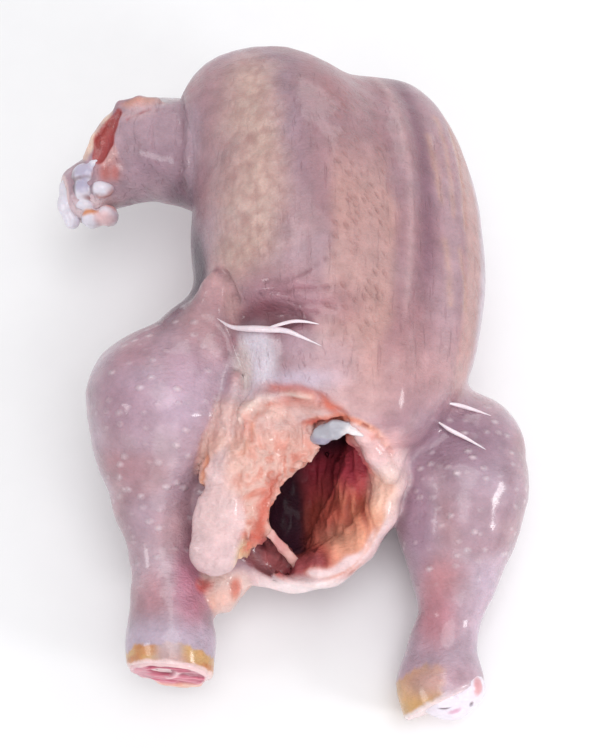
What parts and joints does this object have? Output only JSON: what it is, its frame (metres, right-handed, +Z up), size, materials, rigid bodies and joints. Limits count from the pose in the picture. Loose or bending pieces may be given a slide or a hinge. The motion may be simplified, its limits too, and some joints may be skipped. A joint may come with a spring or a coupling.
{
  "type": "whole raw chicken",
  "caption": "Plucked and drawn raw chicken on its back, with an open belly, cut shanks and cut wings.",
  "frame": {"origin": "on the board that the bird lies on, under the centre of its bounding box", "axes": "+Y along the body from the open belly to the neck, +Z up from the board, the bird's right side at -X"},
  "size_m": [0.2098, 0.2964, 0.1225],
  "materials": {
    "skin": "moist, mauve-pink, slightly see-through skin",
    "bone": "moist, pale lilac bone and gristle"
  },
  "bodies": {
    "root": {"carcass": "skin", "tibia_right": "bone", "tibia_left": "bone", "humerus_right": "bone", "humerus_left": "bone"}
  },
  "joints": []
}
